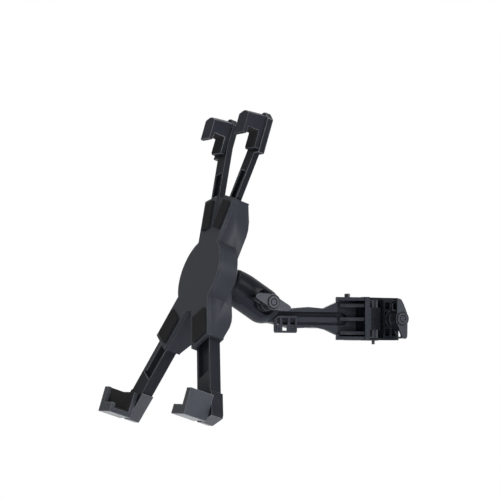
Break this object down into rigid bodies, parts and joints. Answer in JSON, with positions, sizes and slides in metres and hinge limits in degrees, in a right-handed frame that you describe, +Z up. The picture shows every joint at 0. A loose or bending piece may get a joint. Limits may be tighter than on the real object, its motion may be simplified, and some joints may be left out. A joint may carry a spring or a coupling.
{
  "type": "pole tablet holder",
  "caption": "Tablet holder for a pole: ribbed clamp with wing knob, short arm, ball joint, and a cradle with sliding arms that hook the top and cup the bottom corners.",
  "frame": {"origin": "on the pole's axis, at half the clamp's height", "axes": "+Z up along the pole, the arm and the cradle towards -X, both wing knobs face -Y"},
  "size_m": [0.2568, 0.1738, 0.2727],
  "materials": {
    "black_plastic": "matte",
    "knob_plastic": "satin",
    "pad_rubber": "matte",
    "seat_plastic": "satin",
    "dark_steel": "black oxide",
    "zinc_steel": "zinc plated"
  },
  "bodies": {
    "arm": {"arm_with_front_jaw": "black_plastic", "front_jaw_pad": "pad_rubber", "jaw_hinge_pin": "dark_steel", "cable_clip": "black_plastic", "socket_shell_front": "black_plastic", "socket_shell_back": "black_plastic", "socket_screw": "dark_steel", "socket_washer": "dark_steel"},
    "back_jaw": {"back_jaw": "black_plastic", "back_jaw_pad": "pad_rubber", "swing_bolt_pin": "dark_steel"},
    "swing_bolt": {"swing_bolt": "dark_steel"},
    "clamp_washer": {"clamp_washer": "dark_steel"},
    "clamp_knob": {"clamp_knob": "knob_plastic", "clamp_knob_cap": "knob_plastic", "clamp_knob_insert": "zinc_steel"},
    "socket_knob": {"socket_knob": "knob_plastic", "socket_knob_cap": "knob_plastic", "socket_knob_insert": "zinc_steel"},
    "ball_seat": {"ball_seat": "seat_plastic"},
    "ball_stud": {"ball_stud": "dark_steel", "stud_washer": "zinc_steel", "stud_nut": "zinc_steel"},
    "cradle_hub": {"hub_back_shell": "black_plastic", "hub_front_plate": "black_plastic", "hub_screws": "dark_steel", "hub_pads": "pad_rubber"},
    "top_left_arm": {"top_left_arm": "black_plastic", "top_left_hook": "black_plastic", "top_left_pad": "pad_rubber", "top_left_screw": "dark_steel"},
    "top_right_arm": {"top_right_arm": "black_plastic", "top_right_hook": "black_plastic", "top_right_pad": "pad_rubber", "top_right_screw": "dark_steel"},
    "bottom_left_arm": {"bottom_left_arm": "black_plastic", "bottom_left_bracket": "black_plastic", "bottom_left_pad": "pad_rubber", "bottom_left_screw": "dark_steel"},
    "bottom_right_arm": {"bottom_right_arm": "black_plastic", "bottom_right_bracket": "black_plastic", "bottom_right_pad": "pad_rubber", "bottom_right_screw": "dark_steel"}
  },
  "joints": [
    {"name": "jaw_hinge", "type": "hinge", "parent": "arm", "child": "back_jaw", "pos_m": [-0.0165, -0.0024, 0], "axis": [0, 0, 1], "range_deg": [0, 12]},
    {"name": "bolt_pivot", "type": "hinge", "parent": "back_jaw", "child": "swing_bolt", "pos_m": [0.024, 0.0178, 0], "axis": [0, 0, 1], "range_deg": [-4, 0]},
    {"name": "washer_travel", "type": "slide", "parent": "swing_bolt", "child": "clamp_washer", "axis": [0, -1, 0], "range_m": [0, 0.0095]},
    {"name": "clamp_knob_turn", "type": "hinge", "parent": "clamp_washer", "child": "clamp_knob", "pos_m": [0.024, -0.016, 0], "axis": [0, -1, 0], "continuous": true},
    {"name": "socket_knob_turn", "type": "hinge", "parent": "arm", "child": "socket_knob", "pos_m": [-0.10891, -0.0144, 0.01301], "axis": [0, -1, 0], "continuous": true},
    {"name": "ball_turn", "type": "hinge", "parent": "arm", "child": "ball_seat", "pos_m": [-0.1312, 0, 0.0264], "axis": [0.8572, 0, -0.515], "continuous": true},
    {"name": "ball_tilt", "type": "hinge", "parent": "ball_seat", "child": "ball_stud", "pos_m": [-0.1312, 0, 0.0264], "axis": [0, 1, 0], "range_deg": [-8, 35]},
    {"name": "cradle_roll", "type": "hinge", "parent": "ball_stud", "child": "cradle_hub", "pos_m": [-0.1312, 0, 0.0264], "axis": [0.9542, 0, -0.299], "continuous": true},
    {"name": "top_left_slide", "type": "slide", "parent": "cradle_hub", "child": "top_left_arm", "axis": [0.2914, 0.225, 0.9298], "range_m": [-0.02, 0.008]},
    {"name": "top_right_slide", "type": "slide", "parent": "cradle_hub", "child": "top_right_arm", "axis": [0.2914, -0.225, 0.9298], "range_m": [-0.02, 0.008]},
    {"name": "bottom_left_slide", "type": "slide", "parent": "cradle_hub", "child": "bottom_left_arm", "axis": [-0.2577, 0.5075, -0.8222], "range_m": [-0.024, 0.008]},
    {"name": "bottom_right_slide", "type": "slide", "parent": "cradle_hub", "child": "bottom_right_arm", "axis": [-0.2577, -0.5075, -0.8222], "range_m": [-0.024, 0.008]}
  ],
  "couplings": [
    {"joint": "bolt_pivot", "follows": "jaw_hinge", "ratio": -0.33},
    {"joint": "washer_travel", "follows": "jaw_hinge", "m_per_rad": 0.045}
  ]
}
